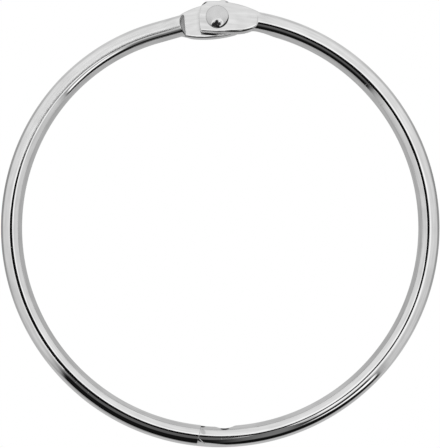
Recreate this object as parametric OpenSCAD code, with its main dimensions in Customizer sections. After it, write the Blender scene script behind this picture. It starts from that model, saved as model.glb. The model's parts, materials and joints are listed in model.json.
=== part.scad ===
// Hinged binder ring.
// Two half rings of solid wire turn on a rivet through their flattened ends, and close with a
// snap pin on one half that enters a crimped socket in the other.
// The ring lies in the XY plane with its centre at the origin and its hinge on +Y.

/* [Ring] */
// Clear diameter inside the closed ring
ring_inner_d = 76.2; // [50:0.1:110]
// Diameter of the wire
wire_d = 3.9; // [3.6:0.1:4.8]
// Angle from the point opposite the hinge, round to the clasp's seam
clasp_angle = 6.8; // [0:0.1:12]

/* [Bend of the pin half near its hinge plate] */
// How much smaller than the ring's radius the bend is there
lead_tighter = 2.4; // [0:0.1:5]
// Angle from the hinge at which the tighter bend starts
lead_start = 60; // [45:1:70]
// Slope of the straight run into the plate
lead_slope = 15; // [10:0.5:20]

/* [Both hinge plates] */
// Thickness of each flattened end
plate_t = 1.6; // [1.2:0.05:1.8]
// Radius of the blunt ends
plate_end_r = 8.5; // [6:0.5:14]
// Rounding of the pressed edges
plate_edge_r = 0.35; // [0.2:0.05:0.5]
// Running gap between the two plates
plate_gap = 0.06; // [0.02:0.01:0.2]
// Lean of the shoulders
shoulder_lean = 24; // [5:1:30]
// Slope at which the plates' edges run out on the wire
run_out_slope = 30; // [25:1:45]

/* [Rear hinge plate, on the pin half] */
// Distance from the rivet's axis to the outer side
pin_outer_reach = 3.19; // [3:0.01:3.4]
// Radius of the outer side
pin_outer_r = 13; // [12:0.5:16]
// Place along the plate where the outer side reaches farthest
pin_outer_at = 1.7; // [1.2:0.1:2.2]
// Distance from the rivet's axis to the inner side
pin_inner_reach = 3.42; // [3.2:0.02:3.6]
// Radius of the inner side
pin_inner_r = 22.5; // [20:0.5:26]
// Distance from the rivet's axis to the blunt end
pin_plate_end = 4.2; // [3.4:0.1:4.4]
// Turn of the inner side away from the wire's run
pin_plate_turn = 1.8; // [0:0.2:3]
// Distance from the rivet's axis to the shoulder
pin_shoulder = 6.35; // [6:0.05:7]
// Turn of the shoulder out of square with the plate
pin_shoulder_skew = 7.5; // [0:0.5:10]
// Length past the shoulder over which the plate's edges run out
pin_run_out = 1.2; // [0.6:0.1:1.6]

/* [Front hinge plate, on the socket half] */
// Distance from the rivet's axis to the outer side
outer_reach = 3.06; // [2.9:0.02:3.3]
// Radius of the outer side
outer_r = 19.5; // [17:0.5:24]
// Place along the plate where the outer side reaches farthest
outer_at = 0.5; // [0:0.1:1]
// Distance from the rivet's axis to the inner side
inner_reach = 2.9; // [2.7:0.02:3.2]
// Radius of the bow in the inner side
inner_r = 60; // [40:5:80]
// Turn of the inner side away from the wire's run
inner_turn = 1.4; // [0:0.2:3]
// Distance from the rivet's axis to the start of the inner side's taper
taper_from = 2.6; // [2:0.1:3]
// Radius of the taper
taper_r = 10; // [9:0.5:12]
// Distance from the rivet's axis to the blunt end
socket_plate_end = 3.45; // [3:0.05:3.8]
// Distance from the rivet's axis to the front shoulder
socket_shoulder = 7.6; // [7.2:0.1:8]
// Distance from the rivet's axis to the rear shoulder, which the other plate's end clears
socket_seat = 5.6; // [5.4:0.1:6.2]
// Lean of the rear shoulder
seat_lean = 45; // [35:1:50]
// Length past the shoulder over which the plate's edges run out
socket_run_out = 0.6; // [0.4:0.1:1]
// Distance from the rivet's axis to the cut across the plate's outer corner
corner_reach = 3.71; // [3.5:0.01:3.9]
// Heading of that cut's face
corner_heading = 132; // [125:1:140]
// Place along the plate of the swell that riveting raised on its outer edge
swell_at = 1; // [0.5:0.1:1.4]
// Height of the swell
swell_h = 0.3; // [0.2:0.02:0.4]
// Radius of the swell
swell_r = 1.3; // [1.1:0.1:1.6]
// Depth of the pinch beside the shoulder on the inside of the ring
pinch_depth = 0.28; // [0.2:0.01:0.35]
// Radius of the pinch
pinch_r = 15; // [12:0.5:18]

/* [Rivet] */
// Diameter of the rivet's shank
rivet_d = 2.4; // [1.8:0.1:2.8]
// Diameter of the domed head
head_d = 4.35; // [3.6:0.05:5]
// Height of the domed head
head_h = 0.6; // [0.4:0.05:0.9]
// Height of the straight rim below the dome
head_rim = 0.12; // [0.05:0.01:0.2]
// Diameter of the peened tail
tail_d = 3.7; // [3:0.1:4.5]
// Height of the peened tail
tail_h = 0.34; // [0.2:0.02:0.5]
// Radial running clearance of the shank in the front plate
rivet_clearance = 0.05; // [0.02:0.01:0.1]
// Axial play between the head and the front plate
rivet_play = 0.03; // [0.01:0.01:0.1]

/* [Clasp] */
// Length of the snap pin beyond the seam
pin_len = 6.3; // [6:0.1:6.8]
// Diameter of the pin's shank and bulb
pin_d = 1.8; // [1.4:0.1:2]
// Diameter of the pin's waist
waist_d = 1.4; // [1:0.1:1.6]
// Diameter of the pin's flat tip
tip_d = 0.8; // [0.4:0.1:1.2]
// Distance from the seam to the middle of the crimp, the lip and the waist
crimp_at = 5; // [4.6:0.1:5.1]
// Radial clearance of the bulb in the lip, where the real spring bites
snap_clearance = 0.1; // [0.08:0.01:0.2]
// Height of the lip above the socket's wall
lip_h = 0.15; // [0.05:0.05:0.25]
// Gap between the pin's tip and the socket's floor
socket_floor_gap = 0.4; // [0.2:0.1:1]
// Width of the seam between the two halves
seam_gap = 0.04; // [0.03:0.01:0.2]
// Depth of the crimp on the inside of the ring
crimp_depth = 0.44; // [0.3:0.02:0.46]
// Radius of the crimping tool
crimp_r = 4.6; // [4:0.2:6]
// Tilt towards the rear of the marks on the inside of the ring
crimp_tilt = 16; // [8:1:24]
// Distance from the mouth to the middle of the shallow mark beside it
mouth_flat_at = 2.5; // [2:0.1:3]
// Depth of the shallow mark
mouth_flat_depth = 0.14; // [0.08:0.02:0.2]
// Radius of the shallow mark
mouth_flat_r = 24; // [20:1:28]
// Depth of the flat on the outer front side of the mouth
outer_flat_depth = 0.17; // [0.1:0.01:0.25]
// Tilt of that flat towards the front
outer_flat_tilt = 45; // [35:1:55]
// Depth of the bevel at the mouth's outer front corner
bevel_depth = 0.3; // [0.25:0.01:0.35]
// Length of the bevel
bevel_len = 1.1; // [0.8:0.1:1.4]

/* [Hidden] */
$fn = 96;
wire_r = wire_d / 2;
ring_r = ring_inner_d / 2 + wire_r;
gap_half = plate_gap / 2;
rivet_r = rivet_d / 2;
rivet_at = [0, ring_r];
// How far one solid is sunk into another of the same piece so that they fuse
fuse = 0.3;
// Overshoot of a cut past the surface that it opens
past = 1;
// The wire is drawn this much thinner at each change of bend towards the hinge
draw_step = 0.02;

// The pin half's centre line: ring arc, tighter arc, straight run
lead_r = ring_r - lead_tighter;
lead_c = lead_tighter * along(90 + lead_start);
straight_from = lead_c + lead_r * along(90 + lead_slope);
straight_dir = along(lead_slope);
pin_plate_axis = heading(straight_at(pin_shoulder) - rivet_at);

// The socket half's centre line is the ring arc alone
socket_plate_axis = -ring_chord_angle(socket_shoulder) / 2;

// The clasp: the pin points the way its middle travels as the ring opens
seam_at = 270 - clasp_angle;
seam_centre = ring_r * along(seam_at);
pin_reach = norm(seam_centre - rivet_at);
pin_axis = heading(seam_centre - rivet_at) + 90 + asin(pin_len / 2 / pin_reach);
seam_gap_angle = seam_gap / ring_r * 180 / PI;
pin_r = pin_d / 2;
lip_r = pin_r + snap_clearance;
bore_r = lip_r + lip_h;

function along(angle) = [cos(angle), sin(angle)];
function heading(v) = atan2(v[1], v[0]);
// Angle at the ring's centre between the rivet and a point of the ring at a straight distance from it
function ring_chord_angle(distance) = 2 * asin(distance / (2 * ring_r));
// Distance along the straight run to the point at a given distance from the rivet's axis
function straight_length(distance) =
    let (b = straight_dir * (straight_from - rivet_at),
         c = pow(norm(straight_from - rivet_at), 2) - distance * distance)
    -b - sqrt(b * b - c);
function straight_at(distance) = straight_from + straight_length(distance) * straight_dir;

// Wire bent round a centre from one angle to another
module wire_arc(r, from, to, thinned = 0) {
    rotate([0, 0, from])
        rotate_extrude(angle = to - from)
            translate([r, 0]) circle(wire_r - thinned);
}

// Wire of the pin half: ring arc, tighter arc and straight run, each sunk into the one before it
module pin_half_wire() {
    lap_angle = past / lead_r * 180 / PI;
    wire_arc(ring_r, 90 + lead_start, seam_at);
    translate(lead_c)
        wire_arc(lead_r, 90 + lead_slope, 90 + lead_start + lap_angle, draw_step);
    translate(straight_from) rotate([0, 0, lead_slope]) rotate([0, 90, 0])
        translate([0, 0, -past])
            cylinder(h = past + straight_length(pin_shoulder - fuse), r = wire_r - 2 * draw_step);
}

// Puts a hinge end in place: its own x runs from the rivet's axis towards the wire
module at_hinge(axis) {
    translate(rivet_at) rotate([0, 0, axis]) children();
}

// Puts something on the clasp's axis: its own z runs from the seam's centre along the pin
module at_clasp() {
    translate(seam_centre) rotate([0, 0, pin_axis]) rotate([0, 90, 0]) children();
}

// Disc of the plates' thickness with a rounded rim
module pressed_disc(r) {
    translate([0, 0, gap_half])
        rotate_extrude() {
            square([r - plate_edge_r, plate_t]);
            translate([0, plate_edge_r]) square([r, plate_t - 2 * plate_edge_r]);
            for (z = [plate_edge_r, plate_t - plate_edge_r])
                translate([r - plate_edge_r, z]) circle(plate_edge_r);
        }
}

// Cone in which a plate's edges run out on the wire
module run_out_cone(from) {
    wide = 4 * wire_d;
    sunk_r = wire_r - fuse / 2;
    translate([from, 0, 0]) rotate([0, -90, 0])
        cylinder(h = wide, r1 = sunk_r, r2 = sunk_r + wide * tan(run_out_slope));
}

// Flattened end of the pin half, lying above the hinge's middle plane; its own y points outwards
module pin_plate() {
    intersection() {
        translate([pin_outer_at, pin_outer_reach - pin_outer_r, 0]) pressed_disc(pin_outer_r);
        rotate([0, 0, pin_plate_turn])
            intersection() {
                translate([0, pin_inner_r - pin_inner_reach, 0]) pressed_disc(pin_inner_r);
                translate([plate_end_r - pin_plate_end, 0, 0]) pressed_disc(plate_end_r);
            }
        run_out_cone(pin_shoulder + pin_run_out);
    }
}

// Flattened end of the socket half, drawn in the same way
module socket_plate() {
    difference() {
        intersection() {
            translate([outer_at, outer_reach - outer_r, 0]) pressed_disc(outer_r);
            rotate([0, 0, inner_turn])
                intersection() {
                    translate([0, inner_r - inner_reach, 0]) pressed_disc(inner_r);
                    translate([plate_end_r - socket_plate_end, 0, 0]) pressed_disc(plate_end_r);
                    inner_taper();
                }
            run_out_cone(socket_shoulder + socket_run_out);
        }
        rotate([0, 0, corner_heading - socket_plate_axis])
            translate([corner_reach, -wire_d, -past]) cube([wire_d, 2 * wire_d, plate_t + 2 * past]);
    }
    edge_swell();
}

// Narrows the front plate on its inner side, from the start of the taper towards the shoulder
module inner_taper() {
    translate([taper_from, taper_r - inner_reach, 0]) pressed_disc(taper_r);
    translate([taper_from - 4 * wire_d, -2 * wire_d, -past])
        cube([4 * wire_d, 4 * wire_d, plate_t + 2 * past]);
}

// Swell on the outer edge of the front plate, beside the rivet
module edge_swell() {
    sink = 0.02;
    translate([swell_at, outer_reach + swell_h - swell_r, gap_half + sink])
        cylinder(h = plate_t - 2 * sink, r = swell_r);
}

// What is pressed away from the wire under its plate, up to a leaning shoulder
module shoulder_cut(shoulder, lean, skew) {
    tall = wire_d;
    back = 4 * wire_d;
    translate([shoulder, 0, gap_half]) rotate([0, 0, skew]) rotate([90, 0, 0])
        linear_extrude(height = 4 * wire_d, center = true)
            polygon([
                [-back, fuse],
                [-fuse * tan(lean), fuse],
                [tall * tan(lean), -tall],
                [-back, -tall]
            ]);
}

// The same over the plate
module upper_shoulder_cut(shoulder, skew) {
    translate([0, 0, 2 * gap_half + plate_t]) mirror([0, 0, 1])
        shoulder_cut(shoulder, shoulder_lean, skew);
}

// Half ring that carries the snap pin; its hinge plate is the rear one
module pin_half_ring() {
    color("gainsboro")
        difference() {
            union() {
                difference() {
                    pin_half_wire();
                    at_hinge(pin_plate_axis) rotate([180, 0, 0]) {
                        shoulder_cut(pin_shoulder, shoulder_lean, pin_shoulder_skew);
                        upper_shoulder_cut(pin_shoulder, pin_shoulder_skew);
                    }
                }
                at_hinge(pin_plate_axis) rotate([180, 0, 0]) pin_plate();
                snap_pin();
            }
            at_hinge(0) cylinder(h = 2 * wire_d, r = rivet_r, center = true);
        }
}

// Turned pin with a waist and a bulb, rooted in the wire's end
module snap_pin() {
    waist_half = 0.4;
    slope = pin_r - waist_d / 2;
    bulb_end = pin_len - (pin_r - tip_d / 2);
    at_clasp()
        rotate_extrude()
            polygon([
                [0, -past],
                [pin_r, -past],
                [pin_r, crimp_at - waist_half - slope],
                [waist_d / 2, crimp_at - waist_half],
                [waist_d / 2, crimp_at + waist_half],
                [pin_r, crimp_at + waist_half + slope],
                [pin_r, bulb_end],
                [tip_d / 2, pin_len],
                [0, pin_len]
            ]);
}

// Half ring with the crimped socket; its hinge plate is the front one
module socket_half_ring() {
    color("gainsboro")
        difference() {
            union() {
                difference() {
                    wire_arc(ring_r, seam_at - 360 + seam_gap_angle,
                        90 - ring_chord_angle(socket_seat - 2 * fuse));
                    at_hinge(socket_plate_axis) {
                        shoulder_cut(socket_seat, seat_lean, 0);
                        upper_shoulder_cut(socket_shoulder, 0);
                    }
                    at_ring(90 - ring_chord_angle(socket_shoulder)) tool_mark(pinch_depth, pinch_r);
                    crimp_marks();
                    mouth_flats();
                    socket_bore();
                }
                at_hinge(socket_plate_axis) socket_plate();
            }
            at_hinge(0) cylinder(h = 2 * wire_d, r = rivet_r + rivet_clearance, center = true);
        }
}

// Blind bore for the snap pin, narrowed by the lip that the crimp raises inside
module socket_bore() {
    lip_half = 0.2;
    depth = pin_len + socket_floor_gap;
    at_clasp()
        rotate_extrude()
            polygon([
                [0, -past],
                [bore_r, -past],
                [bore_r, crimp_at - lip_half - lip_h],
                [lip_r, crimp_at - lip_half],
                [lip_r, crimp_at + lip_half],
                [bore_r, crimp_at + lip_half + lip_h],
                [bore_r, depth],
                [0, depth]
            ]);
}

// Puts something on the ring's wire at an angle, its own y outwards and x clockwise
module at_ring(angle) {
    translate(ring_r * along(angle)) rotate([0, 0, angle - 90]) children();
}

// Puts something on the socket half's wire at a distance from its mouth
module near_mouth(distance) {
    at_ring(seam_at + seam_gap_angle + distance / ring_r * 180 / PI) children();
}

// Marks of the crimping tool on the inside of the ring
module crimp_marks() {
    near_mouth(crimp_at) tool_mark(crimp_depth, crimp_r);
    near_mouth(mouth_flat_at) tool_mark(mouth_flat_depth, mouth_flat_r);
}

// Mark of a round tool pressed into the wire from inside the ring
module tool_mark(depth, r) {
    rotate([crimp_tilt, 0, 0])
        translate([0, depth - wire_r - r, 0])
            cylinder(h = 2 * wire_d, r = r, center = true);
}

// Flat and bevel on the outer front side of the mouth
module mouth_flats() {
    near_mouth(0) rotate([outer_flat_tilt, 0, 0]) {
        translate([-2 * wire_d, wire_r - outer_flat_depth, -wire_d])
            cube([3 * wire_d, wire_d, 2 * wire_d]);
        translate([0, wire_r - bevel_depth, 0]) rotate([0, 0, -atan(bevel_depth / bevel_len)])
            translate([-wire_d, 0, -wire_d]) cube([2 * wire_d, wire_d, 2 * wire_d]);
    }
}

// Rivet with a domed head in front and a low peened tail behind
module hinge_rivet() {
    head_z = gap_half + plate_t + rivet_play;
    tail_z = gap_half + plate_t;
    color("silver")
        at_hinge(0) {
            translate([0, 0, -tail_z - fuse]) cylinder(h = head_z + tail_z + 2 * fuse, r = rivet_r);
            translate([0, 0, head_z]) dome(head_d / 2, head_h, head_rim);
            mirror([0, 0, 1]) translate([0, 0, tail_z]) dome(tail_d / 2, tail_h, head_rim);
        }
}

// Low dome standing on a short straight rim
module dome(r, h, rim) {
    rise = h - rim;
    ball_r = (r * r + rise * rise) / (2 * rise);
    cylinder(h = rim, r = r);
    intersection() {
        translate([0, 0, h - ball_r]) sphere(ball_r);
        translate([0, 0, rim / 2]) cylinder(h = h, r = r);
    }
}

pin_half_ring();
socket_half_ring();
hinge_rivet();
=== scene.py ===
from collections import namedtuple
import json
import math

import bmesh
import bpy
import numpy as np
from mathutils import Euler, Matrix, Vector


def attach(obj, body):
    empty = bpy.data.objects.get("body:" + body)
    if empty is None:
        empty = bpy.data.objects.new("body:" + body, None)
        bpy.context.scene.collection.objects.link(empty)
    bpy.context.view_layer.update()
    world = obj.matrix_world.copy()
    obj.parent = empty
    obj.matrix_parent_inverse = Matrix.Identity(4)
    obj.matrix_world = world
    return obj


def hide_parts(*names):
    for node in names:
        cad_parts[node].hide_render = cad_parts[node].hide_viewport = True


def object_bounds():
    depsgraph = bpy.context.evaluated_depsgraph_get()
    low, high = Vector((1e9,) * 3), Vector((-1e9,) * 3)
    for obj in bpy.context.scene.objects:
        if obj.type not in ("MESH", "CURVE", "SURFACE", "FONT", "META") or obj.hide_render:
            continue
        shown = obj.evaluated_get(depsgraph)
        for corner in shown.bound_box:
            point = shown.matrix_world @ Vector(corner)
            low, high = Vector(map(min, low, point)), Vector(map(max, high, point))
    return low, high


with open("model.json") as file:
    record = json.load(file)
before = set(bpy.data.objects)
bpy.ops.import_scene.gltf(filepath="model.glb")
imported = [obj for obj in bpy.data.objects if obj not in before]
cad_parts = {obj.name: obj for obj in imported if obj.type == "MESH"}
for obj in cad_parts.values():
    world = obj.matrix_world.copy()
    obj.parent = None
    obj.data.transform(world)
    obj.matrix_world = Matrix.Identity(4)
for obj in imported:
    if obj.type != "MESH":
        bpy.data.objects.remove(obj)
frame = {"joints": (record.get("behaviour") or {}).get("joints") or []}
cad_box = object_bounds()

# Sizes in millimetres, as in the part's source; Blender's unit is the metre
MM = 0.001
RING_R = frame["joints"][0]["pos_m"][1] / MM
WIRE_R = 1.95
CLASP_ANGLE = 6.8
SEAM_GAP = 0.04

# The pin half's wire: tighter bend, then a straight run into its plate
LEAD_TIGHTER = 2.4
LEAD_START = 60.0
LEAD_SLOPE = 15.0

# Hinge plates: the socket half's is the front one
# A side is a disc: its reach from the rivet's axis, its radius and the place where it reaches farthest
Side = namedtuple("Side", "reach radius at")
Plate = namedtuple("Plate", "outer inner end turn shoulder skew seat seat_lean run_out corner")
PIN_PLATE = Plate(
    outer=Side(3.19, 13.0, 1.7), inner=Side(3.42, 22.5, 0.0), end=4.2, turn=1.8, shoulder=6.35,
    skew=7.5, seat=6.35, seat_lean=24.0, run_out=1.2, corner=0.5,
)
SOCKET_PLATE = Plate(
    outer=Side(3.06, 19.5, 0.5), inner=Side(2.9, 60.0, 0.0), end=3.45, turn=1.4, shoulder=7.6,
    skew=0.0, seat=5.6, seat_lean=45.0, run_out=0.6, corner=0.3,
)
TAPER_FROM = 2.6
TAPER_R = 10.0
PLATE_T = 1.6
PLATE_END_R = 8.5
PLATE_EDGE_R = 0.35
SHARP_EDGE_R = 0.14
WORN_EDGE_R = 0.6
WORN_BY = 3.0
EDGE_CHANGE = 1.0
PLATE_GAP = 0.06
SHOULDER_LEAN = 24.0
RUN_OUT_SLOPE = 30.0
SCOOP_LOSS = 0.6
SWELL_AT = 1.0
SWELL_H = 0.3
SWELL_R = 1.3
CORNER_REACH = 3.71
CORNER_HEADING = 132.0
PINCH_DEPTH = 0.28
PINCH_R = 15.0

# Rounding between two faces: in a plate's outline, along its run-out, and elsewhere
OUTLINE_BLEND = 0.2
RUN_OUT_BLEND = 0.3
SOFT_EDGE = 0.1

# Rivet
RIVET_R = 1.2
RIVET_CLEARANCE = 0.05
HEAD_R = 2.175
HEAD_H = 0.6
HEAD_BALL_R = 5.6
HEAD_RIM_R = 0.42
TAIL_R = 1.85
TAIL_H = 0.34
TAIL_BALL_R = 8.0
TAIL_RIM_R = 0.12
RIM_BREAK = 0.03
RIVET_PLAY = 0.03

# Clasp
PIN_LEN = 6.3
PIN_R = 0.9
WAIST_R = 0.7
TIP_R = 0.4
WAIST_HALF = 0.4
PIN_END_R = 0.015
CRIMP_AT = 5.0
LIP_R = 1.0
LIP_HALF = 0.4
BORE_R = 1.15
BORE_DEPTH = 6.7
CRIMP_DEPTH = 0.44
CRIMP_R = 4.6
CRIMP_LIFT = -16.0
MOUTH_FLAT_AT = 2.5
MOUTH_FLAT_DEPTH = 0.14
MOUTH_FLAT_R = 24.0
OUTER_FLAT_AT = 0.2
OUTER_FLAT_DEPTH = 0.17
OUTER_FLAT_LIFT = 45.0
NOSE_LEN = 0.04
NOSE_DROP = 0.012
SEAM_SKEW = 8.0
SEAM_SKEW_LEN = 4.0
BEVEL_LEN = 1.1
BEVEL_DROP = 0.2
BEVEL_LIFT = 58.0

RIVET_AT = np.array([0.0, RING_R])
PLATE_MID = PLATE_GAP / 2 + PLATE_T / 2
PLATE_TOP = PLATE_GAP / 2 + PLATE_T
SEAM_AT = 270.0 - CLASP_ANGLE


def along(angle):
    """Unit vector in the ring's plane, at an angle in degrees."""
    a = np.radians(angle)
    return np.stack([np.cos(a), np.sin(a)], axis=-1)


def heading(vector):
    """Angle in degrees of a vector in the ring's plane."""
    return math.degrees(math.atan2(vector[1], vector[0]))


def smooth_max(a, b, k):
    """The larger of two distances, with the edge between them rounded over about k."""
    h = np.clip(0.5 + 0.5 * (a - b) / k, 0.0, 1.0)
    return b + (a - b) * h + k * h * (1.0 - h)


def smooth_min(a, b, k):
    """The smaller of two distances, with the edge between them filled over about k."""
    return -smooth_max(-a, -b, k)


def smooth_step(x, low, high):
    """0 below low, 1 above high, smooth between; falls where high is below low."""
    t = np.clip((x - low) / (high - low), 0.0, 1.0)
    return t * t * (3.0 - 2.0 * t)


# Centre lines of the two half rings

# Part of the ring, in degrees, that the socket half's plate cuts across
SOCKET_CHORD = 2 * math.degrees(math.asin(SOCKET_PLATE.shoulder / (2 * RING_R)))


def socket_path(s):
    """Point at a distance s from the rivet's axis, along the plate and then round the ring."""
    straight = RIVET_AT + s[:, None] * along(-SOCKET_CHORD / 2)
    turned = 90 - SOCKET_CHORD - np.degrees((s - SOCKET_PLATE.shoulder) / RING_R)
    return np.where(s[:, None] < SOCKET_PLATE.shoulder, straight, RING_R * along(turned))


def socket_length():
    """Length of the socket half's centre line, from the rivet's axis to the seam."""
    end = SEAM_AT - 360 + math.degrees(SEAM_GAP / RING_R)
    return SOCKET_PLATE.shoulder + math.radians(90 - SOCKET_CHORD - end) * RING_R


# The pin half's tighter bend, and the straight run that leaves it
LEAD_R = RING_R - LEAD_TIGHTER
LEAD_C = LEAD_TIGHTER * along(90 + LEAD_START)
STRAIGHT_FROM = LEAD_C + LEAD_R * along(90 + LEAD_SLOPE)
STRAIGHT_DIR = along(LEAD_SLOPE)


def straight_length(distance):
    """Length of the straight run, up to the point at that distance from the rivet's axis."""
    offset = STRAIGHT_FROM - RIVET_AT
    b = float(STRAIGHT_DIR @ offset)
    return -b - math.sqrt(b * b - float(offset @ offset) + distance * distance)


def pin_path(s):
    """Point at a distance s from the rivet's axis, along the plate, the straight run and both bends."""
    run = straight_length(PIN_PLATE.shoulder)
    shoulder = STRAIGHT_FROM + run * STRAIGHT_DIR
    axis = along(heading(shoulder - RIVET_AT))
    bend_from = PIN_PLATE.shoulder + run
    ring_from = bend_from + math.radians(LEAD_START - LEAD_SLOPE) * LEAD_R
    far = s[:, None]
    plate = RIVET_AT + far * axis
    straight = shoulder - (far - PIN_PLATE.shoulder) * STRAIGHT_DIR
    bend = LEAD_C + LEAD_R * along(90 + LEAD_SLOPE + np.degrees((s - bend_from) / LEAD_R))
    ring = RING_R * along(90 + LEAD_START + np.degrees((s - ring_from) / RING_R))
    bent = np.where(far < ring_from, bend, ring)
    wire = np.where(far < bend_from, straight, bent)
    return np.where(far < PIN_PLATE.shoulder, plate, wire)


def pin_length():
    """Length of the pin half's centre line, from the rivet's axis to the seam."""
    lead = math.radians(LEAD_START - LEAD_SLOPE) * LEAD_R
    ring = math.radians(SEAM_AT - 90 - LEAD_START) * RING_R
    return PIN_PLATE.shoulder + straight_length(PIN_PLATE.shoulder) + (lead + ring)


# Places about a point that share in its direction, and the step that finds a direction
EASE = np.linspace(-1.2, 1.2, 13)
STEP = 0.01


def path_frames(path, s):
    """Points on a centre line and the outward normals there, eased over the bend at the shoulder."""
    tangent = sum(path(s + e + STEP) - path(s + e - STEP) for e in EASE)
    tangent /= np.linalg.norm(tangent, axis=1)[:, None]
    point = path(s)
    normal = np.stack([-tangent[:, 1], tangent[:, 0]], axis=1)
    normal *= np.sign(np.sum(normal * point, axis=1))[:, None]
    return point, normal


# Distance functions of the half rings, straightened: s along, a outwards, b up on the plate's side

def rounded_both(outline, slab, radius):
    """Inside both distances, with their common edge rounded."""
    x = np.maximum(outline + radius, 0.0)
    y = np.maximum(slab + radius, 0.0)
    return np.hypot(x, y) + np.minimum(np.maximum(outline, slab) + radius, 0.0) - radius


def side_distance(side, s, a):
    """Distance outside a plate's side; a counts towards that side."""
    return np.hypot(s - side.at, a + side.radius - side.reach) - side.radius


def plate_outline(s, a, plate, axis):
    """Distance outside the outline of a flattened end; axis is the plate's heading."""
    turn = math.radians(plate.turn)
    st = s * math.cos(turn) + a * math.sin(turn)
    at = a * math.cos(turn) - s * math.sin(turn)
    end = np.hypot(st - (PLATE_END_R - plate.end), at) - PLATE_END_R
    inner = side_distance(plate.inner, st, -at)
    outer = side_distance(plate.outer, s, a)
    if plate is PIN_PLATE:
        return smooth_max(smooth_max(outer, inner, OUTLINE_BLEND), end, plate.corner)
    taper = side_distance(Side(plate.inner.reach, TAPER_R, 0.0), np.maximum(st - TAPER_FROM, 0.0), -at)
    inner = smooth_max(inner, taper, OUTLINE_BLEND)
    outline = smooth_max(smooth_max(outer, inner, OUTLINE_BLEND), end, plate.corner)
    face = math.radians(CORNER_HEADING - axis)
    cut = s * math.cos(face) + a * math.sin(face) - CORNER_REACH
    outline = smooth_max(outline, cut, OUTLINE_BLEND)
    swell = np.hypot(s - SWELL_AT, a - (plate.outer.reach + SWELL_H - SWELL_R)) - SWELL_R
    return smooth_min(outline, swell, OUTLINE_BLEND)


def edge_rounding(s, a, b):
    """Rounding of the front plate's edges: sharp below on its inner side, worn above towards the wire."""
    upper = SHARP_EDGE_R + (WORN_EDGE_R - SHARP_EDGE_R) * smooth_step(s, 0.0, WORN_BY)
    inner = np.where(b > PLATE_MID, upper, SHARP_EDGE_R)
    return inner + (PLATE_EDGE_R - inner) * smooth_step(a, -EDGE_CHANGE, EDGE_CHANGE)


def hinge_end(s, a, b, plate, axis):
    """The flattened end with its shoulders, and the wire beyond it."""
    slab = np.abs(b - PLATE_MID) - PLATE_T / 2
    rounding = edge_rounding(s, a, b) if plate is SOCKET_PLATE else PLATE_EDGE_R
    flat = rounded_both(plate_outline(s, a, plate, axis), slab, rounding)
    slope = math.radians(RUN_OUT_SLOPE)
    cone = np.hypot(a, b) - WIRE_R - (plate.shoulder + plate.run_out - s) * math.tan(slope)
    flat = smooth_max(flat, cone * math.cos(slope), RUN_OUT_BLEND)
    wire = np.hypot(a, b) - WIRE_R
    if plate is SOCKET_PLATE:
        pinch = tool_mark(s, plate.shoulder, PINCH_DEPTH, 1.0 / PINCH_R - 1.0 / (RING_R - WIRE_R))
        wire = smooth_max(wire, inward_reach(a, b) - pinch, SOFT_EDGE)
    lean = math.radians(SHOULDER_LEAN)
    seat_lean = math.radians(plate.seat_lean)
    skewed = s + a * math.tan(math.radians(plate.skew))
    scoop = math.tan(seat_lean) * (1.0 - SCOOP_LOSS * np.minimum((a / WIRE_R) ** 2, 1.0))
    below = plate.seat - skewed + (PLATE_GAP / 2 - b) * scoop
    above = plate.shoulder - skewed + (b - PLATE_TOP) * math.tan(lean)
    wire = smooth_max(wire, below * math.cos(seat_lean), SOFT_EDGE)
    wire = smooth_max(wire, above * math.cos(lean), SOFT_EDGE)
    return smooth_min(flat, wire, SOFT_EDGE)


def inward_reach(a, b):
    """Reach from the wire's middle towards the tools that marked the inside of the ring."""
    tilt = math.radians(CRIMP_LIFT)
    return b * math.sin(tilt) - a * math.cos(tilt)


def tool_mark(place, at, depth, curvature):
    """Distance of a tool's surface from the wire's middle, at a place along the wire."""
    return WIRE_R - depth + (place - at) ** 2 * curvature / 2


def crimped_wire(left, a, b):
    """The wire near the socket's mouth: left is the distance to the mouth."""
    nose = np.clip(1.0 - left / NOSE_LEN, 0.0, 1.0)
    radius = WIRE_R - NOSE_DROP * (1.0 - np.sqrt(1.0 - nose * nose))
    wire = np.hypot(a, b) - radius
    inside = 1.0 / (RING_R - WIRE_R)
    outside = 1.0 / (RING_R + WIRE_R)
    crimp = tool_mark(left, CRIMP_AT, CRIMP_DEPTH, 1.0 / CRIMP_R - inside)
    flat = tool_mark(left, MOUTH_FLAT_AT, MOUTH_FLAT_DEPTH, 1.0 / MOUTH_FLAT_R - inside)
    inward = inward_reach(a, b)
    wire = smooth_max(wire, inward - crimp, SOFT_EDGE)
    wire = smooth_max(wire, inward - flat, SOFT_EDGE)
    lift = math.radians(OUTER_FLAT_LIFT)
    outward = a * math.cos(lift) + b * math.sin(lift)
    outer = tool_mark(left, OUTER_FLAT_AT, OUTER_FLAT_DEPTH, outside * math.cos(lift))
    wire = smooth_max(wire, outward - outer, SOFT_EDGE)
    lift = math.radians(BEVEL_LIFT)
    outward = a * math.cos(lift) + b * math.sin(lift)
    bevel = WIRE_R - BEVEL_DROP * (1.0 - left / BEVEL_LEN)
    return smooth_max(wire, outward - bevel, SOFT_EDGE)


# Meshes: points around a section, reach of its rays, halvings that find the surface, and a hole's sides
AROUND = 128
RAY_REACH = 5.0
HALVINGS = 36
HOLE_SIDES = 96

# Rays start in the plate's middle up to the first place along, and in the wire's from the second
PLATE_RAYS_TO = 7.5
WIRE_RAYS_FROM = 11.5


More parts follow.
